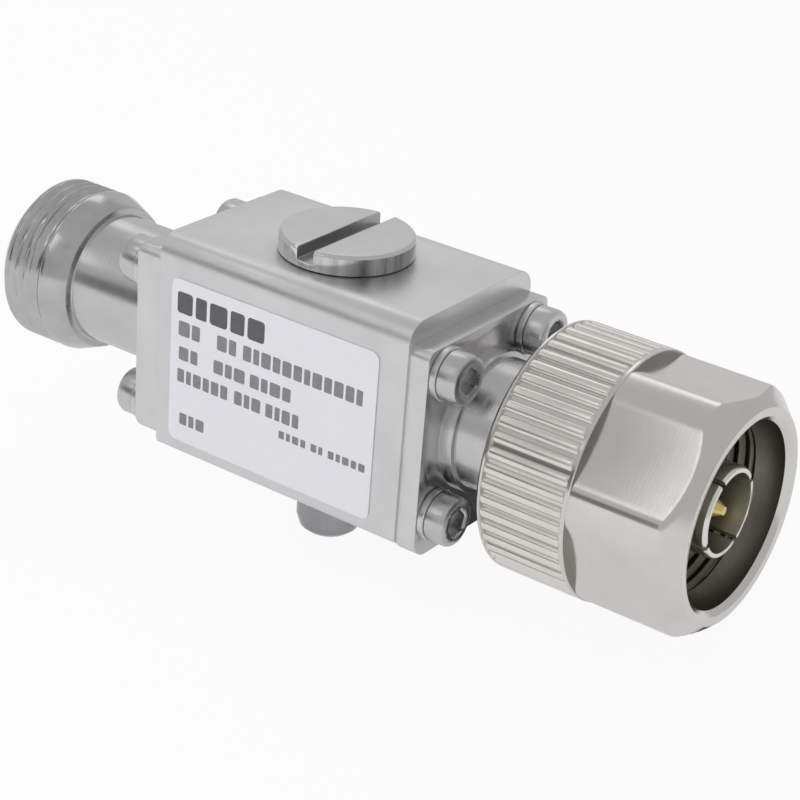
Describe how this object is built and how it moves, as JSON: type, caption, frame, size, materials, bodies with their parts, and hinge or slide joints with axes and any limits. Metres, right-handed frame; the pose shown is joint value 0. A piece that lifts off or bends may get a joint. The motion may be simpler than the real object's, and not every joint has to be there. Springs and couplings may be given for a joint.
{
  "type": "coax lightning arrestor",
  "caption": "In-line coaxial lightning arrestor: a metal block with a screw-on plug, a threaded jack, a slotted gas-tube cap on top and an earth screw underneath.",
  "frame": {"origin": "centre of the plug's mating plane, at the tip of its outer contact, on the line axis", "axes": "+X along the line and out of the plug, -Y out of the label face, +Z out of the gas-tube cap"},
  "size_m": [0.0768, 0.0222, 0.0297],
  "materials": {
    "block_nickel": "satin nickel-plated machined block",
    "shell_nickel": "turned nickel plate",
    "nut_nickel": "bright nickel plate on a turned nut",
    "cap_nickel": "satin nickel-plated cap",
    "contact_silver": "silver-toned sprung contact",
    "contact_gold": "gold plate",
    "insulator_white": "fluoroplastic insulator",
    "gasket_rubber": "soft dark rubber",
    "seal_rubber": "black rubber sealing ring",
    "spring_bronze": "spring bronze",
    "tube_ceramic": "fired alumina sleeve",
    "tube_electrode": "plated electrode",
    "screw_steel": "plated steel screw",
    "washer_steel": "plated steel washer",
    "label_film": "pale printed film, no words"
  },
  "bodies": {
    "housing": {"body_block": "block_nickel", "jack_shell": "shell_nickel", "plug_shell": "shell_nickel", "plug_outer_contact": "contact_silver", "jack_contact": "contact_gold", "plug_pin": "contact_gold", "centre_conductor": "contact_gold", "jack_insulator": "insulator_white", "plug_insulator": "insulator_white", "plug_gasket": "gasket_rubber", "nut_retaining_ring": "spring_bronze", "gas_tube_ceramic": "tube_ceramic", "gas_tube_top_electrode": "tube_electrode", "gas_tube_bottom_electrode": "tube_electrode", "jack_flange_screws": "screw_steel", "plug_flange_screws": "screw_steel", "jack_flange_washers": "washer_steel", "plug_flange_washers": "washer_steel", "rating_label": "label_film"},
    "nut": {"coupling_nut": "nut_nickel"},
    "cap_rider": {"cap_seal": "seal_rubber", "cap_contact_spring": "spring_bronze"},
    "cap": {"gas_tube_cap": "cap_nickel"},
    "ground_washers": {"ground_flat_washers": "washer_steel", "ground_spring_washer": "washer_steel"},
    "ground_screw": {"ground_screw": "screw_steel"}
  },
  "joints": [
    {"name": "nut_spin", "type": "hinge", "parent": "housing", "child": "nut", "pos_m": [-0.008, 0, 0], "axis": [1, 0, 0], "continuous": true},
    {"name": "cap_lift", "type": "slide", "parent": "housing", "child": "cap_rider", "axis": [0, 0, 1], "range_m": [0, 0.006]},
    {"name": "cap_turn", "type": "hinge", "parent": "cap_rider", "child": "cap", "pos_m": [-0.0401, 0, 0.0109], "axis": [0, 0, 1], "range_deg": [0, 2160]},
    {"name": "ground_lift", "type": "slide", "parent": "housing", "child": "ground_washers", "axis": [0, 0, -1], "range_m": [0, 0.0028]},
    {"name": "ground_turn", "type": "hinge", "parent": "ground_washers", "child": "ground_screw", "pos_m": [-0.0401, 0, -0.012], "axis": [0, 0, -1], "range_deg": [0, 1440]}
  ],
  "couplings": [
    {"joint": "cap_turn", "follows": "cap_lift", "rad_per_m": 6283.2},
    {"joint": "ground_turn", "follows": "ground_lift", "rad_per_m": 8976}
  ]
}
